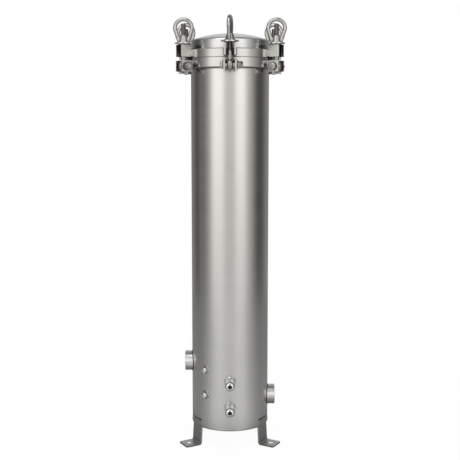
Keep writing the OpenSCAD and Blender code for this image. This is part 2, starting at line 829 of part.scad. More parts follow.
eye_nut(0);  // eye_nut_1
eye_nut(1);  // eye_nut_2
eye_nut(2);  // eye_nut_3
eye_nut(3);  // eye_nut_4
eye_nut(4);  // eye_nut_5
eye_nut(5);  // eye_nut_6
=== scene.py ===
"""Studio scene of a multi-cartridge filter housing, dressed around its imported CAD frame.

Everything is in metres in the frame's own axes: +Z up the vessel, -Y the front, +X the outlet side.
An azimuth is in degrees from the front, anticlockwise seen from above.
"""

import math

import bpy
from mathutils import Matrix, Vector, noise


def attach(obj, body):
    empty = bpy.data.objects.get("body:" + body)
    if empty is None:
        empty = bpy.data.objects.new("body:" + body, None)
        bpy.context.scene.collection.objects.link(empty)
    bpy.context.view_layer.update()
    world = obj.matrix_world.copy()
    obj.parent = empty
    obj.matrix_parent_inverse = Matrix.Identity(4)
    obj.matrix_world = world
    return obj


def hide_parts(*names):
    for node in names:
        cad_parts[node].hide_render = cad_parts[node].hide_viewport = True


# Vessel
SHELL_R = 0.125
FLANGE_R = 0.147
BOTTOM_Z = 0.060
BASE_RING_T = 0.005
JOINT_Z = 1.247
BODY_FLANGE_T = 0.030
LID_FLANGE_T = 0.026
FLANGE_CHAMFER = 0.0012
LEGS = (300, 60, 180)
LEG_W = 0.054
LEG_LAP = 0.022
FOOT_HOLE_PCR = 0.155

# Side couplings with a 2 inch parallel pipe thread; a place is (azimuth, height)
INLET = (270, 0.262)
OUTLET = (90, 0.147)
NOZZLE_R = 0.0325
NOZZLE_BORE_R = 0.02833
NOZZLE_NEAR = 0.112
NOZZLE_FAR = 0.148
NOZZLE_RIM = 0.0012         # rounding of the outer edge
NOZZLE_PITCH = 0.002309
NOZZLE_THREAD = 0.00148     # depth
NOZZLE_THREAD_LEN = 0.027
NOZZLE_STEPS = 8            # rows in one pitch

# Drain couplings and their domed plugs; heights are above the seat of the head
DRAINS = ((0, 0.224), (0, 0.139))
DRAIN_R = 0.015
DRAIN_SEAT = SHELL_R + 0.050
DRAIN_SHANK_R = 0.0090
DRAIN_SHANK = 0.0170
DRAIN_HEAD_R = 0.0135
DRAIN_HEAD_EDGE = 0.0005
DRAIN_HEAD_RIM = 0.0018
DRAIN_HEAD_H = 0.0070
DRAIN_DOME_R = 0.020725
SOCKET_R = 0.0060           # half the flats
SOCKET_MOUTH_R = 0.0074
SOCKET_FLOOR = 0.0007

# Gauge couplings and their hexagon plugs
GAUGES = ((-39, 0.257), (-39, 0.174))
GAUGE_R = 0.011
GAUGE_SEAT = SHELL_R + 0.005
GAUGE_SHANK_R = 0.0071
GAUGE_SHANK = 0.0105
GAUGE_HEAD_R = 0.0095       # half the flats
GAUGE_HEAD_H = 0.0065
GAUGE_FACE_R = 0.0088
GAUGE_CROWN = 0.0015
GAUGE_TURN = 12

# Sealing rings: places, seat, radius of the ring's middle, half its width and half its height
SEAL_T = 0.0015
SEALS = ((DRAINS, DRAIN_SEAT, 0.0128, 0.0020, 0.00104), (GAUGES, GAUGE_SEAT, 0.0094, 0.0012, 0.00078))

# Clamps: cheeks, swing bolts and eye nuts
CLAMPS = (0, 60, 120, 180, 240, 300)
PIN_R = 0.166               # reach of the pivot bolt from the vessel's axis
PIN_Z = 1.221
CHEEK_T = 0.005
CHEEK_HOLE_R = 0.0063
LUG_R = 0.183               # reach of the cheeks
LOWER_GAP = 0.030
LOWER_CHEEK = (1.205, 1.239)
UPPER_GAP = 0.026
UPPER_CHEEK = (1.250, 1.289)
EYE_R = 0.018
EYE_T = 0.018
EYE_ROUND = 0.0075
PIN_HOLE_R = 0.00608
PIN_HOLE_EDGE = 0.0006
STUD_R = 0.008
STUD_LEN = 0.130
STUD_PITCH = 0.002
STUD_THREAD = 0.00115       # depth
STUD_THREAD_START = 0.040
STUD_STEPS = 6              # rows in one pitch
STUD_TIP = 0.0022
NUT_Z = 1.2928
LOOP_HEADINGS = (81, 0, -20, 90, 20, 0)
LOOP_ROD_R = 0.006
LOOP_R = 0.026
LOOP_RISE = 0.045
LOOP_FOOT = 0.012
HUB_H = 0.0215

# Weld beads: half width and height
GAUGE_BEAD = (0.0020, 0.0016)
NOZZLE_BEAD = (0.0015, 0.0012)
DRAIN_BEAD = (0.0048, 0.0024)
BODY_FLANGE_BEAD = (0.0028, 0.0020)
LID_FLANGE_BEAD = (0.0028, 0.0018)
EDGE_BEAD = (0.0022, 0.0009)
LEG_BEAD = (0.0020, 0.0010)
CHEEK_BEAD = (0.0034, 0.0022)
STUD_BEAD = (0.0016, 0.0013)
LOOP_BEAD = (0.0016, 0.0012)
BEAD_LIFT = 0.0002          # beads lie this much off the surface that they join
BEAD_SIDES = 10

# Camera, fitted to the photograph
LENS = 69.47
CAMERA_AT = (0.0, -2.881, 1.063)
CAMERA_DOWN = 7.21

# Studio as metal sees it: azimuths in degrees, rises as the height of a unit direction, levels as radiance
FRONT_LEVEL = 0.62
FRONT_RISE = (-0.06, 0.05)
HIGH_LEVEL = 0.12               # added over that rise
SIDE_LEVEL = 0.07
LOW_SIDE_RISE = (-0.12, -0.28)
LOW_SIDE_LEVEL = 0.09           # added at the sides, well below the horizon
LEFT_EDGE = (50, 84)            # where the bright front gives way to the dark side
RIGHT_EDGE = (44, 92)
LEFT_SHOULDER = (60, 80, 98, 112, 0.10)  # a faint strip: where it grows, where it ends and what it adds
LEFT_BACK = (108, 150, 0.17)    # where the grey back begins and ends, and what it adds
RIGHT_BACK = (100, 145, 0.21)
BACK_LEVEL = 0.24               # of the grey back where the backdrop begins
BACKDROP_EDGE = (166, 178)
BACKDROP_LEVEL = 0.85
BACKDROP_TOP = (0.45, 0.25)
MIRRORED_BACKDROP = (0.74, 0.78, 0.82, 1.0)
SOFTBOXES = ((-36, 10, 16, 0.66), (31, 7, 16, 0.66))  # azimuth, half width, soft edge, added level
SOFTBOX_RISE = (-0.26, 0.06)
SOFTBOX_LOW = 0.12              # share of a soft box that is left below that rise
SKY_RISE = (0.35, 0.80)
SKY_COLOUR = (0.40, 0.415, 0.43, 1.0)
ZENITH_RISE = (0.80, 0.93)
ZENITH_BACKWARD = (-0.35, 0.0)
ZENITH_COLOUR = (0.10, 0.105, 0.11, 1.0)
STUDIO_TINT = (1.0, 0.99, 0.965)
DIFFUSE_LEVEL = (0.95, 0.95, 0.95, 1.0)
WHITE = (1.0, 1.0, 1.0, 1.0)

# Floor as metal sees it
FLOOR_R = 2.5
FLOOR_SIDES = 96
FLOOR_TINT = (0.985, 0.99, 1.0)
FLOOR_PLAIN = (0.93, 0.93, 0.93, 1.0)
FLOOR_FRONT = 0.60
FLOOR_FRONT_EDGE = (22, 98)
FLOOR_BACK = 0.165
FLOOR_BACK_NEAR = 0.045         # added close to the vessel
FLOOR_BACK_REACH = (0.5, 1.2)
FLOOR_BEHIND = (172, 180, 0.4)  # azimuths and added level
FLOOR_SHADE = (0.15, 0.45, 0.32)  # reach over which the shade of the vessel ends, and its level
FLOOR_WHITE = (0.5, 1.5, 0.965)   # reach over which the floor turns plain white, and its share before
FLOOR_GLOSSY = 0.9

# Details drawn in the materials, among them painted shade and painted light
OUTWARD_SIDE = (0.0, 0.02)      # tells the near side of the shell from the far side
# painted shade round the side couplings: how far the shell darkens, and over what width
PORT_SHADE = 0.62
PORT_SHADE_W = 0.011
# painted light in the foot holes: where it ends round each hole, and its colour
FOOT_HOLE_EDGE = (0.0071, 0.0074)
FOOT_HOLE_PAINTED_LIGHT = (0.92, 0.92, 0.90, 1.0)
# painted shadow on the shell just over the top of each leg
LEG_SLOT_Z = BOTTOM_Z + LEG_LAP
LEG_SLOT_SHADE = 0.93
# how open a corner is where the painted crevice shade is darkest and where it ends
CREVICE_SHADE_OPEN = (0.10, 0.80)
AO_SAMPLES = 8
BEVEL_SAMPLES = 4


class Tree:
    """Shorthand for building one shader node tree."""

    def __init__(self, owner):
        owner.use_nodes = True
        self.tree = owner.node_tree
        self.tree.nodes.clear()

    def add(self, kind, inputs=None, **settings):
        node = self.tree.nodes.new("ShaderNode" + kind)
        for key, value in settings.items():
            setattr(node, key, value)
        for key, value in (inputs or {}).items():
            self.put(node, key, value)
        return node

    def put(self, node, key, value):
        if isinstance(value, bpy.types.NodeSocket):
            self.tree.links.new(value, node.inputs[key])
        else:
            node.inputs[key].default_value = value

    def math(self, operation, a, b=0.0, c=0.0):
        return self.add("Math", {0: a, 1: b, 2: c}, operation=operation).outputs[0]

    def total(self, first, *others):
        for other in others:
            first = self.math("ADD", first, other)
        return first

    def times(self, first, *others):
        for other in others:
            first = self.math("MULTIPLY", first, other)
        return first

    def ramp(self, value, low, high, to_low=0.0, to_high=1.0, kind="SMOOTHSTEP"):
        inputs = {"Value": value, "From Min": low, "From Max": high, "To Min": to_low, "To Max": to_high}
        return self.add("MapRange", inputs, interpolation_type=kind).outputs[0]

    def mix(self, factor, a, b):
        node = self.add("Mix", data_type="RGBA")
        for index, value in ((0, factor), (6, a), (7, b)):
            self.put(node, index, value)
        return node.outputs[2]

    def noise(self, vector, scale, detail=2.0, roughness=0.5):
        inputs = {"Vector": vector, "Scale": scale, "Detail": detail, "Roughness": roughness}
        return self.add("TexNoise", inputs).outputs[0]

    def distance(self, a, b):
        return self.add("VectorMath", {0: a, 1: b}, operation="DISTANCE").outputs[1]

    def coordinates(self, kind="Object"):
        return self.add("TexCoord").outputs[kind]

    def split(self, vector):
        return self.add("SeparateXYZ", {0: vector}).outputs[:3]

    def join(self, x, y, z):
        return self.add("CombineXYZ", {0: x, 1: y, 2: z}).outputs[0]


def bearing(t, x, y):
    """Azimuth of a direction in radians, 0 at the front and positive towards +X."""
    return t.math("ARCTAN2", x, t.times(y, -1.0))


def reach_of(t, x, y):
    """Distance from the vessel's axis."""
    return t.math("SQRT", t.total(t.times(x, x), t.times(y, y)))


def seen_or_through(t, path):
    """1 for a ray from the camera, also one that has passed through something clear."""
    return t.math("MAXIMUM", path["Is Camera Ray"], path["Is Transmission Ray"])


def tint(t, level, colour):
    return t.join(*[t.times(level, share) for share in colour])


def softboxes(t, azimuth, level, fade):
    """Adds the two soft boxes to a level."""
    for centre, half, edge, extra in SOFTBOXES:
        off = t.math("ABSOLUTE", t.math("SUBTRACT", azimuth, centre))
        level = t.math("MULTIPLY_ADD", t.ramp(off, half, half + edge, extra, 0.0), fade, level)
    return level


def studio_level(t, azimuth, rise):
    """Radiance of the studio: bright front with two soft boxes, dark sides, grey back, white backdrop."""
    leftward = t.times(azimuth, -1.0)
    front = t.times(t.ramp(leftward, *LEFT_EDGE, 1.0, 0.0), t.ramp(azimuth, *RIGHT_EDGE, 1.0, 0.0))
    front_level = t.ramp(rise, *FRONT_RISE, FRONT_LEVEL, FRONT_LEVEL + HIGH_LEVEL)
    side_level = t.ramp(rise, *LOW_SIDE_RISE, SIDE_LEVEL, SIDE_LEVEL + LOW_SIDE_LEVEL)
    level = t.math("MULTIPLY_ADD", t.math("SUBTRACT", front_level, side_level), front, side_level)
    grows, full, fades, ends, extra = LEFT_SHOULDER
    shoulder = t.times(t.ramp(leftward, grows, full), t.ramp(leftward, fades, ends, extra, 0.0))
    left_back = t.ramp(leftward, *LEFT_BACK[:2], 0.0, LEFT_BACK[2])
    right_back = t.ramp(azimuth, *RIGHT_BACK[:2], 0.0, RIGHT_BACK[2])
    backdrop = t.ramp(t.math("ABSOLUTE", azimuth), *BACKDROP_EDGE, 0.0, BACKDROP_LEVEL - BACK_LEVEL)
    level = t.total(level, shoulder, left_back, right_back, backdrop)
    return softboxes(t, azimuth, level, t.ramp(rise, *SOFTBOX_RISE, SOFTBOX_LOW, 1.0))


def floor_level(t, azimuth, reach):
    """What metal sees of the floor: bright in front, falling off to the sides, with painted shade close to
    the vessel.
    """
    away = t.math("ABSOLUTE", azimuth)
    back = t.ramp(reach, *FLOOR_BACK_REACH, FLOOR_BACK + FLOOR_BACK_NEAR, FLOOR_BACK)
    front = t.ramp(away, *FLOOR_FRONT_EDGE, 1.0, 0.0)
    level = t.math("MULTIPLY_ADD", front, t.math("SUBTRACT", FLOOR_FRONT, back), back)
    level = softboxes(t, azimuth, level, SOFTBOX_LOW)
    level = t.total(level, t.ramp(away, *FLOOR_BEHIND[:2], 0.0, FLOOR_BEHIND[2]))
    return t.times(level, t.ramp(reach, *FLOOR_SHADE, 1.0))


def make_world():
    world = bpy.data.worlds.new("studio")
    bpy.context.scene.world = world
    t = Tree(world)
    x, y, z = t.split(t.coordinates("Generated"))
    azimuth = t.times(bearing(t, x, y), 180 / math.pi)
    room = t.mix(t.ramp(z, *SKY_RISE), tint(t, studio_level(t, azimuth, z), STUDIO_TINT), SKY_COLOUR)
    room = t.mix(t.times(t.ramp(z, *ZENITH_RISE), t.ramp(y, *ZENITH_BACKWARD)), room, ZENITH_COLOUR)
    path = t.add("LightPath").outputs
    room = t.mix(path["Is Diffuse Ray"], room, DIFFUSE_LEVEL)
    backdrop = t.times(t.ramp(t.math("ABSOLUTE", azimuth), *BACKDROP_EDGE), t.ramp(z, *BACKDROP_TOP))
    room = t.mix(t.times(path["Is Glossy Ray"], backdrop), room, MIRRORED_BACKDROP)
    colour = t.mix(seen_or_through(t, path), room, WHITE)
    background = t.add("Background", {"Color": colour, "Strength": 1.0})
    t.add("OutputWorld", {"Surface": background.outputs[0]})


def make_floor():
    """A round sweep: white to the camera but for the vessel's shadow, and a graded glow to metal."""
    rim = []
    for k in range(FLOOR_SIDES):
        a = 2 * math.pi * k / FLOOR_SIDES
        rim.append((FLOOR_R * math.sin(a), FLOOR_R * math.cos(a), 0.0))
    mesh = bpy.data.meshes.new("floor")
    mesh.from_pydata(rim, [], [tuple(reversed(range(FLOOR_SIDES)))])
    floor = bpy.data.objects.new("floor", mesh)
    bpy.context.scene.collection.objects.link(floor)
    material = bpy.data.materials.new("floor_sweep")
    mesh.materials.append(material)
    t = Tree(material)
    x, y, z = t.split(t.coordinates())
    azimuth = t.times(bearing(t, x, y), 180 / math.pi)
    reach = reach_of(t, x, y)
    path = t.add("LightPath").outputs
    seen = seen_or_through(t, path)
    colour = t.mix(seen, tint(t, floor_level(t, azimuth, reach), FLOOR_TINT), WHITE)
    glowing = t.add("Emission", {"Color": colour, "Strength": 1.0})
    plain = t.add("BsdfDiffuse", {"Color": FLOOR_PLAIN})
    start, end, before = FLOOR_WHITE
    to_camera = t.times(seen, t.ramp(reach, start, end, before, 1.0))
    share = t.math("MAXIMUM", to_camera, t.times(path["Is Glossy Ray"], FLOOR_GLOSSY))
    both = t.add("MixShader", {0: share, 1: plain.outputs[0], 2: glowing.outputs[0]})
    t.add("OutputMaterial", {"Surface": both.outputs[0]})


def make_light(name, at, target, size, watts):
    data = bpy.data.lights.new(name, "AREA")
    data.shape = "RECTANGLE"
    data.size, data.size_y = size
    data.energy = watts
    light = bpy.data.objects.new(name, data)
    light.location = at
    light.rotation_euler = (Vector(target) - Vector(at)).to_track_quat("-Z", "Y").to_euler()
    bpy.context.scene.collection.objects.link(light)


def make_camera():
    data = bpy.data.cameras.new("camera")
    data.lens = LENS
    data.sensor_width = 36.0
    camera = bpy.data.objects.new("camera", data)
    camera.location = CAMERA_AT
    camera.rotation_euler = (math.radians(90 - CAMERA_DOWN), 0, 0)
    bpy.context.scene.collection.objects.link(camera)
    bpy.context.scene.camera = camera


# Materials

def ring_coordinates(t, along, across):
    """Coordinates whose noise runs in rings round the vessel axis: slow along the ring, fast across it."""
    x, y, z = t.split(t.coordinates())
    return t.join(t.times(bearing(t, x, y), along), t.times(reach_of(t, x, y), across), t.times(z, across))


def scaled_coordinates(t, level, upright):
    """Coordinates with one scale in the horizontal directions and another upwards."""
    x, y, z = t.split(t.coordinates())
    return t.join(t.times(x, level), t.times(y, level), t.times(z, upright))


def facing(t, x, y, azimuth):
    """A point's place across an azimuth and its reach along it."""
    a = math.radians(azimuth)
    across = t.total(t.times(x, math.cos(a)), t.times(y, math.sin(a)))
    outward = t.math("SUBTRACT", t.times(x, math.sin(a)), t.times(y, math.cos(a)))
    return across, outward


def occlusion(t, reach):
    """How open a point is to what lies within a reach: 1 is fully open."""
    return t.add("AmbientOcclusion", {"Distance": reach}, samples=AO_SAMPLES).outputs["AO"]


def finish_noise(t, finish):
    """Fine lines and broader bands of a steel finish."""
    place = t.coordinates()
    if finish == "turned":
        return (t.noise(ring_coordinates(t, 1.5, 1400.0), 1.0, 3.0, 0.7),
                t.noise(ring_coordinates(t, 0.4, 160.0), 1.0, 2.0, 0.6))
    if finish == "ground":
        return t.noise(scaled_coordinates(t, 1100.0, 110.0), 1.0, 3.0, 0.7), t.noise(place, 60.0, 3.0, 0.6)
    if finish == "blasted":
        return t.noise(place, 1500.0, 2.0, 0.6), t.noise(ring_coordinates(t, 0.7, 26.0), 1.0, 3.0, 0.6)
    return t.noise(place, 420.0, 3.0, 0.6), t.noise(place, 45.0, 3.0, 0.6)


def port_shade(t, x, y, z, port):
    """Painted shade: a darker band on the shell round a coupling, given as (azimuth, height, radius)."""
    azimuth, height, radius = port
    across, outward = facing(t, x, y, azimuth)
    away = t.distance(t.join(across, 0.0, z), (0.0, 0.0, height))
    band = t.ramp(away, radius + 0.3 * PORT_SHADE_W, radius + PORT_SHADE_W, PORT_SHADE, 0.0)
    return t.math("SUBTRACT", 1.0, t.times(band, t.ramp(outward, *OUTWARD_SIDE)))


def slot_shade(t, x, y, z, azimuth):
    """Painted shadow: a dark band on the shell just over the top of the leg at an azimuth."""
    across, outward = facing(t, x, y, azimuth)
    wide = t.ramp(t.math("ABSOLUTE", across), LEG_W / 2 - 0.0015, LEG_W / 2 + 0.0005, 1.0, 0.0)
    above = t.ramp(z, LEG_SLOT_Z - 0.0010, LEG_SLOT_Z)
    below = t.ramp(z, LEG_SLOT_Z + 0.0040, LEG_SLOT_Z + 0.0056, 1.0, 0.0)
    gap = t.times(wide, t.ramp(outward, *OUTWARD_SIDE), above, below)
    return t.math("MULTIPLY_ADD", gap, -LEG_SLOT_SHADE, 1.0)


def steel(name, colour, rough, finish, line_depth=0.00002, tone=0.06, rough_spread=0.06, bevel=0.0,
          crevice_shade=0.0, crevice_shade_reach=0.012, hollow_shade=None, grooves=None, painted_bright_spots=(), leg_slots=(),
          ports=()):
    """Stainless steel.

    The finish is "turned" for rings round the vessel, "ground" for short upright scratches, "blasted" for
    an even fine grain and "polished" for a clean surface with faint wear. A crevice shade above 0 paints
    shade into narrow corners, and a hollow shade of (reach, closed, open, darkest) paints shade into slots
    and sockets. Grooves of (x, y, z) give the direction across fine tool marks. Painted bright spots are
    (x, y) of drilled holes whose walls get painted light, white and not metallic. Leg slots are azimuths of
    legs, each with a painted shadow over its top, and ports are (azimuth, height, radius) of couplings, each
    with a band of painted shade round it on the shell.
    """
    material = bpy.data.materials.new(name)
    t = Tree(material)
    place = t.coordinates()
    x, y, z = t.split(place)
    lines, bands = finish_noise(t, finish)
    shade = 1.0
    for unevenness in (t.noise(place, 9.0, 3.0, 0.55), bands, lines):
        shade = t.math("MULTIPLY_ADD", t.math("SUBTRACT", unevenness, 0.5), tone, shade)
    # painted shade: corners, hollows, the shell round the side couplings and over the legs darken the colour
    if crevice_shade:
        shade = t.times(shade, t.ramp(occlusion(t, crevice_shade_reach), *CREVICE_SHADE_OPEN, 1.0 - crevice_shade, 1.0))
    if hollow_shade:
        reach, closed, opened, darkest = hollow_shade
        shade = t.times(shade, t.ramp(occlusion(t, reach), closed, opened, darkest, 1.0))
    for port in ports:
        shade = t.times(shade, port_shade(t, x, y, z, port))
    for azimuth in leg_slots:
        shade = t.times(shade, slot_shade(t, x, y, z, azimuth))
    inputs = {0: colour, 1: t.join(shade, shade, shade)}
    tinted = t.add("VectorMath", inputs, operation="MULTIPLY").outputs[0]
    uneven = t.total(t.times(lines, 0.5), t.times(bands, 0.5))
    roughness = t.ramp(uneven, 0.3, 0.7, rough - rough_spread, rough + rough_spread, "LINEAR")
    bump = t.add("Bump", {"Height": lines, "Distance": line_depth, "Strength": 0.6})
    if bevel:
        t.put(bump, "Normal", t.add("Bevel", {"Radius": bevel}, samples=BEVEL_SAMPLES).outputs[0])
    shader = t.add("BsdfPrincipled", {"Base Color": tinted, "Metallic": 1.0, "Roughness": roughness,
                                      "Normal": bump.outputs[0]})
    # painted light: the walls of the foot holes turn white and not metallic
    if painted_bright_spots:
        painted_hole_light = 0.0
        for spot in painted_bright_spots:
            off = t.distance(t.join(x, y, 0.0), (*spot, 0.0))
            painted_hole_light = t.math("MAXIMUM", painted_hole_light, t.ramp(off, *FOOT_HOLE_EDGE, 1.0, 0.0))
        t.put(shader, "Base Color", t.mix(painted_hole_light, tinted, FOOT_HOLE_PAINTED_LIGHT))
        t.put(shader, "Metallic", t.math("SUBTRACT", 1.0, painted_hole_light))
    if grooves:
        shader.inputs["Anisotropic"].default_value = 0.85
        t.put(shader, "Tangent", t.join(*grooves))
    t.add("OutputMaterial", {"Surface": shader.outputs[0]})
    return material


def grained(name, coordinates, scale, detail, roughness, dark, light, depth, strength, rough):
    """Matt material whose colour and bump follow one noise."""
    material = bpy.data.materials.new(name)
    t = Tree(material)
    grain = t.noise(coordinates(t), scale, detail, roughness)
    bump = t.add("Bump", {"Height": grain, "Distance": depth, "Strength": strength})
    shader = t.add("BsdfPrincipled", {"Base Color": t.mix(grain, dark, light), "Roughness": rough,
                                      "Normal": bump.outputs[0]})
    t.add("OutputMaterial", {"Surface": shader.outputs[0]})
    return material


# Geometry that the scene adds

def turned_to(azimuth):
    """Turns a piece made at the front of the vessel, where outward is -Y, to its azimuth."""
    return Matrix.Rotation(math.radians(azimuth), 4, "Z")


def port_matrix(azimuth, z):
    """Local +Z runs outward along the port and local X along the tangent; local Z = 0 is the vessel axis."""
    return Matrix.Translation((0, 0, z)) @ turned_to(azimuth) @ Matrix.Rotation(math.radians(90), 4, "X")


def pin_matrix(azimuth, z):
    """At height z above a clamp's pivot bolt, with local X along that bolt."""
    return turned_to(azimuth) @ Matrix.Translation((0, -PIN_R, z))


class Shape:
    """Collects the vertices and faces of one new piece."""

    def __init__(self):
        self.verts = []
        self.faces = []

    def skin(self, rings, closed=False):
        """Joins each ring of vertices to the next. A ring may be one vertex repeated."""
        pairs = list(zip(rings, rings[1:]))
        if closed:
            pairs.append((rings[-1], rings[0]))
        for low, high in pairs:
            for k in range(len(low)):
                n = (k + 1) % len(low)
                corners = tuple(dict.fromkeys((low[k], low[n], high[n], high[k])))
                if len(corners) > 2:
                    self.faces.append(corners)

    def turn(self, rows, segments, matrix, radius_at, closed=False):
        """Turns rows of (radius, z, extra) about Z. Radius_at gives the radius of a row at a share of the
        turn, and a row with a radius of 0 closes the shape in a point."""
        rings = []
        for row in rows:
            first = len(self.verts)
            if row[0] <= 0:
                self.verts.append(matrix @ Vector((0, 0, row[1])))
                rings.append([first] * segments)
                continue
            for k in range(segments):
                r = radius_at(row, k / segments)
                a = 2 * math.pi * k / segments
                self.verts.append(matrix @ Vector((r * math.cos(a), r * math.sin(a), row[1])))
            rings.append(list(range(first, first + segments)))
        self.skin(rings, closed)

    def lathe(self, rows, segments, matrix, pitch=1.0, closed=False):
        """Turned shape whose rows are (radius, z, depth of thread). A negative depth cuts outwards."""
        def radius_at(row, share):
            radius, z, depth = row
            phase = (z / pitch - share) % 1.0
            return radius - depth * min(1.0, max(0.0, 2.6 * abs(phase - 0.5) - 0.25))
        self.turn(rows, segments, matrix, radius_at, closed)

    def lathe_hex(self, rows, matrix, per_side=8):
        """Turned shape whose rows are (radius, z, share of hexagon): at 1 the radius is half the flats."""
        def radius_at(row, share):
            radius, z, hexagon = row
            off = (2 * math.pi * share + math.pi / 6) % (math.pi / 3) - math.pi / 6
            return radius * (1 - hexagon + hexagon / math.cos(off))
        self.turn(rows, 6 * per_side, matrix, radius_at)

    def plate(self, rim, near_r, x0, x1, matrix, hole=None):
        """Upright plate between x0 and x1 whose rim is a list of (reach, z), with a hole (reach, z, radius).
        Points of the rim closer than near_r lie on the round face with that radius."""
        def at(x, reach, z):
            if reach <= near_r:
                reach = math.sqrt(near_r * near_r - x * x)
            return matrix @ Vector((x, -reach, z))
        count = len(rim)
        first = len(self.verts)
        for x in (x0, x1):
            self.verts += [at(x, reach, z) for reach, z in rim]
        for k in range(count):
            n = (k + 1) % count
            self.faces.append((first + k, first + n, first + count + n, first + count + k))
        if not hole:
            self.faces.append(tuple(first + k for k in reversed(range(count))))
            self.faces.append(tuple(first + count + k for k in range(count)))
            return
        inner = len(self.verts)
        hole_reach, hole_z, hole_r = hole
        for x in (x0, x1):
            for reach, z in rim:
                a = math.atan2(z - hole_z, reach - hole_reach)
                self.verts.append(at(x, hole_reach + hole_r * math.cos(a), hole_z + hole_r * math.sin(a)))
        for k in range(count):
            n = (k + 1) % count
            near, far = inner + k, inner + count + k
            next_near, next_far = inner + n, inner + count + n
            self.faces.append((near, next_near, first + n, first + k))
            self.faces.append((first + count + k, first + count + n, next_far, far))
            self.faces.append((far, next_far, next_near, near))

    def bead(self, path, outward, across, high, pitch=0.0026, closed=False, seed=0):
        """Weld bead along the path: an oval swept with overlapping ripples, like a row of coins."""
        count = len(path)
        rings = []
        run = 0.0
        for k in range(count):
            before = path[k - 1] if closed or k else path[k]
            after = path[(k + 1) % count] if closed or k + 1 < count else path[k]
            if k:
                run += (path[k] - path[k - 1]).length
            along = (after - before).normalized()
            up = outward[k].normalized()
            side = along.cross(up).normalized()
            uneven = 1.0 + 0.10 * noise.noise(path[k] * 260.0 + Vector((seed, 0, 0)))
            end = 1.0 if closed else min(1.0, 0.35 + 0.65 * min(k, count - 1 - k) / 4)
            first = len(self.verts)
            for m in range(BEAD_SIDES):
                a = 2 * math.pi * m / BEAD_SIDES
                ripple = (run / pitch + 0.30 * math.sin(a)) % 1.0
                swell = uneven * end * (1.0 - 0.16 * ripple * ripple)
                offset = side * (across * math.cos(a) * swell) + up * (high * math.sin(a) * swell)
                self.verts.append(path[k] + offset)
            rings.append(list(range(first, first + BEAD_SIDES)))
        if not closed:
            self.faces.append(tuple(reversed(rings[0])))
            self.faces.append(tuple(rings[-1]))
        self.skin(rings, closed)

    def build(self, name, material, body, slot, replaces=(), smooth=35.0):
        mesh = bpy.data.meshes.new(name)
        mesh.from_pydata([tuple(v) for v in self.verts], [], self.faces)
        mesh.materials.append(material)
        mesh.validate()
        piece = bpy.data.objects.new(name, mesh)
        bpy.context.scene.collection.objects.link(piece)
        mesh.shade_smooth()
        mesh.set_sharp_from_angle(angle=math.radians(smooth))
        if replaces:
            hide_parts(*replaces)
        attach(piece, body)


def arc(radius, z, start=0, end=360, step=0.0005, outward_z=0.0):
    """Points and outward directions along a circle round the vessel axis, azimuths in degrees."""
    length = radius * math.radians(abs(end - start))
    count = max(2, int(length / step))
    whole = abs(end - start) >= 360
    path, outward = [], []
    for k in range(count):
        share = k / count if whole else k / (count - 1)
        a = math.radians(start + (end - start) * share)
        path.append(Vector((radius * math.sin(a), -radius * math.cos(a), z)))
        outward.append(Vector((math.sin(a), -math.cos(a), outward_z)))
    return path, outward


def port_ring(azimuth, z, radius, lift=0.0006, step=0.0005):
    """Points and outward directions along the corner between a coupling and the shell."""
    count = int(2 * math.pi * radius / step)
    path, outward = [], []
    turn = turned_to(azimuth)
    for k in range(count):
        a = 2 * math.pi * k / count
        u, v = radius * math.cos(a), radius * math.sin(a)
        point = Vector((u, -math.sqrt(SHELL_R * SHELL_R - u * u), z + v))
        away = Vector((math.cos(a), -1.0, math.sin(a))).normalized()
        path.append(turn @ (point + away * lift))
        outward.append(turn @ away)
    return path, outward


def line(start, end, outward, step=0.0005):
    count = max(3, int((end - start).length / step))
    return [start.lerp(end, k / (count - 1)) for k in range(count)], [outward] * count


def vessel_welds():
    """Fillets round the gauge couplings, the seam on the lower edge and the weld at each leg."""
    shape = Shape()
    for azimuth, z in GAUGES:
        shape.bead(*port_ring(azimuth, z, GAUGE_R), *GAUGE_BEAD, closed=True)
    half = math.degrees(math.asin(LEG_W / 2 / SHELL_R)) + 0.4
    legs = sorted(LEGS)
    for k, azimuth in enumerate(legs):
        following = legs[(k + 1) % len(legs)] + (360 if k + 1 == len(legs) else 0)
        shape.bead(*arc(SHELL_R, BOTTOM_Z + BASE_RING_T, azimuth + half, following - half), *EDGE_BEAD)
        turn = turned_to(azimuth)
        for side in (-1, 1):
            x = side * (LEG_W / 2 + BEAD_LIFT)
            y = -math.sqrt(SHELL_R * SHELL_R - x * x)
            low = turn @ Vector((x, y, BOTTOM_Z + 0.004))
            high = turn @ Vector((x, y, LEG_SLOT_Z - 0.002))
            away = turn @ Vector((side * 0.35, -1.0, 0.0))
            shape.bead(*line(low, high, away), *LEG_BEAD, seed=k + side)
    return shape


def shade_painted_welds():
    """Sunken beads where the two side couplings pass through the shell, and the one under the body flange,
    all in very dark steel as painted shade.
    """
    shape = Shape()
    for azimuth, z in (INLET, OUTLET):
        shape.bead(*port_ring(azimuth, z, NOZZLE_R), *NOZZLE_BEAD, closed=True)
    under = JOINT_Z - BODY_FLANGE_T - 0.0006
    shape.bead(*arc(SHELL_R + BEAD_LIFT, under, outward_z=-1.0), *BODY_FLANGE_BEAD, closed=True)
    return shape


def lid_seam():
    """The bead where the lid's skirt meets its flange."""
    shape = Shape()
    over = JOINT_Z + LID_FLANGE_T + 0.0004
    shape.bead(*arc(SHELL_R + BEAD_LIFT, over, outward_z=1.0), *LID_FLANGE_BEAD, closed=True)
    return shape


def drain_welds():
    """Smooth ground fillets round the two drain couplings."""
    shape = Shape()
    for azimuth, z in DRAINS:
        shape.bead(*port_ring(azimuth, z, DRAIN_R, lift=BEAD_LIFT), *DRAIN_BEAD, pitch=0.02, closed=True)
    return shape


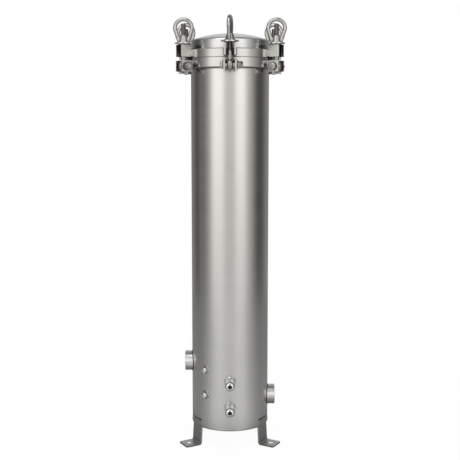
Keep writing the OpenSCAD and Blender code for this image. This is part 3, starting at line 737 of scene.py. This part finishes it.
def seal_rings():
    """Rubber rings squeezed out a little between each coupling and the head of its plug."""
    shape = Shape()
    for places, seat, middle, half_width, half_height in SEALS:
        for place in places:
            rows = []
            for k in range(16):
                a = 2 * math.pi * k / 16
                height = seat + SEAL_T / 2 + half_height * math.sin(a)
                rows.append((middle + half_width * math.cos(a), height, 0))
            shape.lathe(rows, 48, port_matrix(*place), closed=True)
    return shape


def lower_cheek_outline(step=0.002):
    """Square outline with its sides in short pieces, so that the round hole gets enough points."""
    z0, z1 = LOWER_CHEEK
    corners = [(FLANGE_R, z0), (LUG_R, z0), (LUG_R, z1), (FLANGE_R, z1)]
    rim = []
    for start, end in zip(corners, corners[1:] + corners[:1]):
        count = max(1, int(math.dist(start, end) / step))
        for m in range(count):
            rim.append(tuple(a + (b - a) * m / count for a, b in zip(start, end)))
    return rim


def upper_cheek_outline():
    """Outline with a round outer corner about the pivot bolt, along which the swing bolt comes up."""
    z0, z1 = UPPER_CHEEK
    corner_r = z1 - PIN_Z
    rim = [(FLANGE_R, z0), (LUG_R, z0)]
    for k in range(9):
        reach = LUG_R - (LUG_R - PIN_R) * k / 8
        rim.append((reach, PIN_Z + math.sqrt(corner_r ** 2 - (reach - PIN_R) ** 2)))
    rim.append((FLANGE_R, z1))
    return rim


def cheeks(gap, rim, weld_z0, weld_z1, hole=None):
    """The cheek plates of all clamps with a fillet bead along the outer corner of each."""
    shape = Shape()
    corner_x = gap / 2 + CHEEK_T
    corner_y = -math.sqrt(FLANGE_R * FLANGE_R - corner_x * corner_x) - 0.0006
    for number, azimuth in enumerate(CLAMPS):
        turn = turned_to(azimuth)
        for side in (-1, 1):
            x0, x1 = sorted((side * gap / 2, side * corner_x))
            shape.plate(rim, FLANGE_R + 0.0001, x0, x1, turn, hole)
            x = side * (corner_x + 0.0006)
            low, high = (turn @ Vector((x, corner_y, z)) for z in (weld_z0, weld_z1))
            away = turn @ Vector((side, -1.0, 0.0))
            shape.bead(*line(low, high, away), *CHEEK_BEAD, pitch=0.0030, seed=number + side)
    return shape


def drain_plug(place):
    """Domed plug with a hexagon socket."""
    shape = Shape()
    seat = DRAIN_SEAT + SEAL_T
    rows = [(0, seat - DRAIN_SHANK, 0), (DRAIN_SHANK_R, seat - DRAIN_SHANK, 0), (DRAIN_SHANK_R, seat, 0),
            (DRAIN_HEAD_R - DRAIN_HEAD_EDGE, seat, 0), (DRAIN_HEAD_R, seat + DRAIN_HEAD_EDGE, 0),
            (DRAIN_HEAD_R, seat + DRAIN_HEAD_RIM, 0)]
    dome_edge_r = DRAIN_HEAD_R - 0.0003
    dome_centre = seat + DRAIN_HEAD_H - DRAIN_DOME_R
    for k in range(8):
        r = dome_edge_r - k * (dome_edge_r - SOCKET_MOUTH_R) / 7
        rows.append((r, dome_centre + math.sqrt(DRAIN_DOME_R ** 2 - r * r), 0))
    mouth = rows[-1][1]
    rows += [(SOCKET_R + 0.0006, mouth - 0.0004, 0.4), (SOCKET_R, mouth - 0.0010, 1),
             (SOCKET_R, seat + SOCKET_FLOOR, 1), (SOCKET_R - 0.0008, seat + SOCKET_FLOOR - 0.0004, 0.6),
             (0, seat + SOCKET_FLOOR - 0.0013, 0)]
    shape.lathe_hex(rows, port_matrix(*place))
    return shape


def gauge_plug(place):
    """Hexagon head plug with a crowned, chamfered face."""
    shape = Shape()
    seat = GAUGE_SEAT + SEAL_T
    face = seat + GAUGE_HEAD_H
    rows = [(0, seat - GAUGE_SHANK, 0), (GAUGE_SHANK_R, seat - GAUGE_SHANK, 0), (GAUGE_SHANK_R, seat, 0),
            (GAUGE_HEAD_R - 0.0003, seat, 1), (GAUGE_HEAD_R, seat + 0.0003, 1),
            (GAUGE_HEAD_R, face - 0.0013, 1), (GAUGE_HEAD_R - 0.0001, face - 0.0007, 0.5),
            (GAUGE_HEAD_R - 0.0004, face - 0.0002, 0.1), (GAUGE_FACE_R, face, 0)]
    for k in range(1, 8):
        share = 1 - k / 7
        rows.append((GAUGE_FACE_R * share, face + GAUGE_CROWN * (1 - share ** 2), 0))
    shape.lathe_hex(rows, port_matrix(*place) @ Matrix.Rotation(math.radians(GAUGE_TURN), 4, "Z"))
    return shape


def swing_bolt(azimuth):
    """Eye and threaded stud of a swing bolt, M16 with a 2 mm pitch, and the bead between them."""
    shape = Shape()
    place = pin_matrix(azimuth, PIN_Z)
    half = EYE_T / 2
    edge_r = PIN_HOLE_R + PIN_HOLE_EDGE
    rows = [(PIN_HOLE_R, PIN_HOLE_EDGE - half, 0), (edge_r, -half, 0)]
    for k in range(17):
        a = math.radians(-90 + 180 * k / 16)
        bulge = EYE_ROUND * math.cos(a) ** 0.8 if k % 16 else 0.0
        rows.append((EYE_R - EYE_ROUND + bulge, half * math.sin(a), 0))
    rows += [(edge_r, half, 0), (PIN_HOLE_R, half - PIN_HOLE_EDGE, 0)]
    shape.lathe(rows, 56, place @ Matrix.Rotation(math.radians(90), 4, "Y"), closed=True)
    start = STUD_THREAD_START
    rows = [(STUD_R, 0.010, 0), (STUD_R, 0.014, 0), (STUD_R, start - 0.004, 0)]
    step = STUD_PITCH / STUD_STEPS
    for k in range(int((STUD_LEN - 0.0016 - start) / step) + 1):
        z = start + k * step
        grown = min(1.0, (z - start) / (2 * STUD_PITCH))
        taper = 0.5 * max(0.0, z - (STUD_LEN - STUD_TIP))
        rows.append((STUD_R - taper, z, max(0.0, STUD_THREAD * grown - taper)))
    rows += [(STUD_R - 0.0018, STUD_LEN - 0.0004, 0), (STUD_R - 0.0024, STUD_LEN, 0), (0, STUD_LEN, 0)]
    shape.lathe(rows, 30, place, pitch=STUD_PITCH)
    path, outward = [], []
    reach = STUD_R + 0.0004
    for k in range(100):
        a = 2 * math.pi * k / 100
        dx, dy = math.cos(a), math.sin(a)
        path.append(place @ Vector((reach * dx, reach * dy, math.sqrt(EYE_R ** 2 - (reach * dy) ** 2))))
        outward.append(place.to_3x3() @ Vector((dx, dy, 1.0)))
    shape.bead(path, outward, *STUD_BEAD, closed=True)
    return shape


def loop_welds(azimuth, heading):
    """Bead where each leg of the bent loop meets the hub of its eye nut."""
    shape = Shape()
    place = pin_matrix(azimuth, NUT_Z) @ Matrix.Rotation(math.radians(heading - azimuth), 4, "Z")
    # angle at which the straight leg touches the round of the loop
    touch = math.acos(LOOP_R / math.hypot(LOOP_FOOT, LOOP_RISE)) - math.atan2(LOOP_RISE, LOOP_FOOT)
    for side in (-1, 1):
        top = Vector((side * LOOP_R * math.cos(touch), 0, LOOP_RISE + LOOP_R * math.sin(touch)))
        foot = Vector((side * LOOP_FOOT, 0, 0))
        axis = (top - foot).normalized()
        middle = foot + axis * ((HUB_H - 0.0010) / axis.z)
        a1 = Vector((0, 1, 0))
        a2 = axis.cross(a1).normalized()
        path, outward = [], []
        for k in range(60):
            a = 2 * math.pi * k / 60
            away = a1 * math.cos(a) + a2 * math.sin(a)
            # the hub tapers, so the outer half of the bead lies lower on the rod
            slide = axis * (-0.0030 * max(0.0, side * away.x))
            path.append(place @ (middle + away * (LOOP_ROD_R - 0.0001) + slide))
            outward.append(place.to_3x3() @ (away + axis * 0.6))
        shape.bead(path, outward, *LOOP_BEAD, closed=True, pitch=0.0022)
    return shape


def nozzle(place):
    """Pipe coupling, threaded in its outer end."""
    shape = Shape()
    rows = [(NOZZLE_R, NOZZLE_NEAR, 0), (NOZZLE_R, NOZZLE_NEAR + 0.002, 0),
            (NOZZLE_R, NOZZLE_FAR - NOZZLE_RIM, 0), (NOZZLE_R - 0.0004, NOZZLE_FAR - 0.0004, 0),
            (NOZZLE_R - NOZZLE_RIM, NOZZLE_FAR, 0), (NOZZLE_BORE_R + 0.0020, NOZZLE_FAR, 0)]
    z = NOZZLE_FAR - 0.0014
    while z > NOZZLE_FAR - NOZZLE_THREAD_LEN:
        left = NOZZLE_THREAD_LEN - (NOZZLE_FAR - z)
        grown = min(1.0, max(0.0, left / (2 * NOZZLE_PITCH)))
        rows.append((NOZZLE_BORE_R, z, -NOZZLE_THREAD * grown))
        z -= NOZZLE_PITCH / NOZZLE_STEPS
    rows += [(NOZZLE_BORE_R, NOZZLE_FAR - NOZZLE_THREAD_LEN - 0.0005, 0),
             (NOZZLE_BORE_R, NOZZLE_NEAR + 0.001, 0), (NOZZLE_BORE_R + 0.0006, NOZZLE_NEAR, 0)]
    shape.lathe(rows, 120, port_matrix(*place), pitch=NOZZLE_PITCH, closed=True)
    return shape


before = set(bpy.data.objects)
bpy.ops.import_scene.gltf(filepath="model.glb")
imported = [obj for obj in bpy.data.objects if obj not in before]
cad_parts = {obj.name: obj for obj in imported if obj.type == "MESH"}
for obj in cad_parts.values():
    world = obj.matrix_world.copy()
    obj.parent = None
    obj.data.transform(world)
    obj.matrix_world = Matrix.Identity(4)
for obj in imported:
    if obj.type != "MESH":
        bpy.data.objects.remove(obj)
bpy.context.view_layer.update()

make_world()
make_floor()
make_light("overhead", (-0.5, -1.3, 3.3), (0, 0, 0.7), (1.8, 1.8), 14.0)
make_camera()

# painted shade in the slots between the cheeks, as a hollow shade of (reach, closed, open, darkest)
CHEEK_SLOT_SHADE = (0.040, 0.20, 0.55, 0.12)
FOOT_HOLES = [tuple(turned_to(azimuth) @ Vector((0, -FOOT_HOLE_PCR, 0)))[:2] for azimuth in LEGS]
# the materials below paint shade into their corners and hollows; the shell also gets a band of painted shade
# round each side coupling and a painted shadow over each leg
SHELL = steel("shell_satin", (0.715, 0.705, 0.685), 0.24, "blasted", tone=0.03, rough_spread=0.04,
              hollow_shade=(0.012, 0.42, 0.88, 0.30), leg_slots=LEGS,
              ports=[place + (NOZZLE_R,) for place in (INLET, OUTLET)])
DOME = steel("lid_satin", (0.69, 0.69, 0.685), 0.25, "turned", tone=0.04, crevice_shade=0.5, hollow_shade=CHEEK_SLOT_SHADE)
TURNED = steel("flange_turned", (0.60, 0.59, 0.572), 0.21, "turned", line_depth=0.00003, crevice_shade=0.85,
               hollow_shade=CHEEK_SLOT_SHADE)
NOZZLE = steel("coupling_turned", (0.86, 0.85, 0.83), 0.36, "polished", line_depth=0.00001,
               rough_spread=0.03, hollow_shade=(0.006, 0.40, 0.85, 0.15), grooves=(1.0, 0.0, 0.0))
BOSS = steel("boss_turned", (0.57, 0.565, 0.555), 0.22, "polished", line_depth=0.00001, crevice_shade=0.7)
FILLET = steel("fillet_ground", (0.90, 0.895, 0.88), 0.18, "polished", line_depth=0.00001)
# painted shade: very dark steel standing for the shade at the side couplings' roots, under the body flange
# and round the pivot bolt heads
PAINTED_SHADE_STEEL = steel("steel_painted_shade", (0.22, 0.21, 0.20), 0.38, "blasted", tone=0.14, crevice_shade=0.5, crevice_shade_reach=0.006)
PLATE = steel("cheek_plate", (0.74, 0.73, 0.71), 0.28, "ground", bevel=0.0005, crevice_shade=0.6,
              crevice_shade_reach=0.006, hollow_shade=(0.030, 0.52, 0.85, 0.18))
POLISHED = steel("hardware_polished", (0.57, 0.56, 0.545), 0.15, "polished", bevel=0.0005, crevice_shade=0.8,
                 crevice_shade_reach=0.014)
STUD = steel("stud_dark", (0.40, 0.385, 0.36), 0.30, "polished", bevel=0.0003, crevice_shade=0.85,
             crevice_shade_reach=0.004)
PIVOT = steel("pivot_dark", (0.38, 0.365, 0.345), 0.20, "polished", bevel=0.0005, crevice_shade=0.85,
              crevice_shade_reach=0.010)
HEAD = steel("pivot_head", (0.60, 0.58, 0.55), 0.20, "polished", bevel=0.0006, crevice_shade=0.85,
             crevice_shade_reach=0.006)
WASHER = steel("washer_bright", (0.66, 0.65, 0.63), 0.20, "polished", bevel=0.0004, crevice_shade=0.7)
PLUG = steel("plug_bright", (0.84, 0.835, 0.82), 0.14, "polished", bevel=0.0003,
             hollow_shade=(0.016, 0.62, 0.92, 0.02))
# the legs get painted light in their foot holes and painted shade in their hollows
LEG = steel("leg_hot_rolled", (0.56, 0.55, 0.53), 0.46, "ground", tone=0.16, rough_spread=0.10,
            bevel=0.0005, crevice_shade=0.6, hollow_shade=(0.030, 0.42, 0.80, 0.42), painted_bright_spots=FOOT_HOLES)
WELD = steel("weld_metal", (0.56, 0.54, 0.51), 0.30, "blasted", tone=0.14, crevice_shade=0.5, crevice_shade_reach=0.006)
INSIDE = steel("inner_steel", (0.62, 0.62, 0.61), 0.36, "blasted")
RUBBER = grained("rubber_black", Tree.coordinates, 900.0, 3.0, 0.6, (0.012, 0.012, 0.013, 1.0),
                 (0.030, 0.030, 0.032, 1.0), 0.00003, 0.5, 0.55)
# Melt-blown polypropylene: fine fibres wound round, a little uneven
MEDIUM = grained("medium_white", lambda t: scaled_coordinates(t, 260.0, 1500.0), 1.0, 4.0, 0.7,
                 (0.72, 0.72, 0.70, 1.0), (0.88, 0.88, 0.86, 1.0), 0.0003, 0.7, 0.8)

FINISHES = {
    "shell": SHELL, "inlet_course": SHELL, "outlet_course": SHELL, "base_ring": SHELL, "bottom_plate": INSIDE,
    "lid_dome": DOME, "body_flange": TURNED, "lid_flange": TURNED,
    "inlet_nozzle": NOZZLE, "outlet_nozzle": NOZZLE, "lower_lugs": PLATE, "upper_lugs": PLATE,
    "gauge_couplings": BOSS, "gauge_plugs": PLUG, "drain_couplings": BOSS, "drain_plugs": PLUG,
    "leg_left": LEG, "leg_right": LEG, "leg_rear": LEG,
    "lid_seal": RUBBER, "cartridge_seals": RUBBER, "plug_seals": RUBBER,
    "tube_sheet": INSIDE, "cartridge_sockets": INSIDE, "hold_down_plate": INSIDE,
    "tie_rods": POLISHED, "tie_rod_nuts": POLISHED,
    # the pivot washers take painted shade: a dark ring round each bolt head
    "pivot_bolts": HEAD, "pivot_washers": PAINTED_SHADE_STEEL, "pivot_nuts": PIVOT,
}
for number in range(1, 8):
    FINISHES["cartridge_%d" % number] = MEDIUM
for number in range(1, 7):
    FINISHES["swing_bolt_%d" % number] = STUD
    FINISHES["washer_%d" % number] = WASHER
    FINISHES["eye_nut_%d" % number] = POLISHED

for name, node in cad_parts.items():
    node.data.materials.clear()
    node.data.materials.append(FINISHES[name])

vessel_welds().build("vessel_welds", WELD, "vessel", "shell_steel")
shade_painted_welds().build("shade_painted_welds", PAINTED_SHADE_STEEL, "vessel", "shell_steel")
drain_welds().build("drain_welds", FILLET, "vessel", "shell_steel", smooth=60.0)
seal_rings().build("seal_rings", RUBBER, "vessel", "seal_rubber", ("plug_seals",))
body_cheeks = cheeks(LOWER_GAP, lower_cheek_outline(), JOINT_Z - BODY_FLANGE_T + FLANGE_CHAMFER,
                     LOWER_CHEEK[1], (PIN_R, PIN_Z, CHEEK_HOLE_R))
body_cheeks.build("body_cheeks", PLATE, "vessel", "plate_steel", ("lower_lugs",), 50.0)
lid_cheeks = cheeks(UPPER_GAP, upper_cheek_outline(), UPPER_CHEEK[0] + 0.0005,
                    JOINT_Z + LID_FLANGE_T - FLANGE_CHAMFER)
lid_cheeks.build("lid_cheeks", PLATE, "lid", "plate_steel", ("upper_lugs",), 50.0)
for places, plug, head, node in ((DRAINS, drain_plug, "drain_head", "drain_plugs"),
                                 (GAUGES, gauge_plug, "gauge_head", "gauge_plugs")):
    for number, place in enumerate(places, 1):
        # the first of two equal plugs stands for the node that holds both
        replaced = (node,) if number == 1 else ()
        plug(place).build("%s_%d" % (head, number), PLUG, "vessel", "polished_steel", replaced)
lid_seam().build("lid_seam", WELD, "lid", "lid_steel")
nozzle(INLET).build("inlet_coupling", NOZZLE, "vessel", "turned_steel", ("inlet_nozzle",))
nozzle(OUTLET).build("outlet_coupling", NOZZLE, "vessel", "turned_steel", ("outlet_nozzle",))
for number, (azimuth, heading) in enumerate(zip(CLAMPS, LOOP_HEADINGS), 1):
    bolt = "swing_bolt_%d" % number
    swing_bolt(azimuth).build("stud_%d" % number, STUD, bolt, "polished_steel", (bolt,))
    welds = loop_welds(azimuth, heading)
    welds.build("loop_welds_%d" % number, WELD, "eye_nut_%d" % number, "polished_steel")

bpy.context.scene.view_settings.view_transform = "Standard"
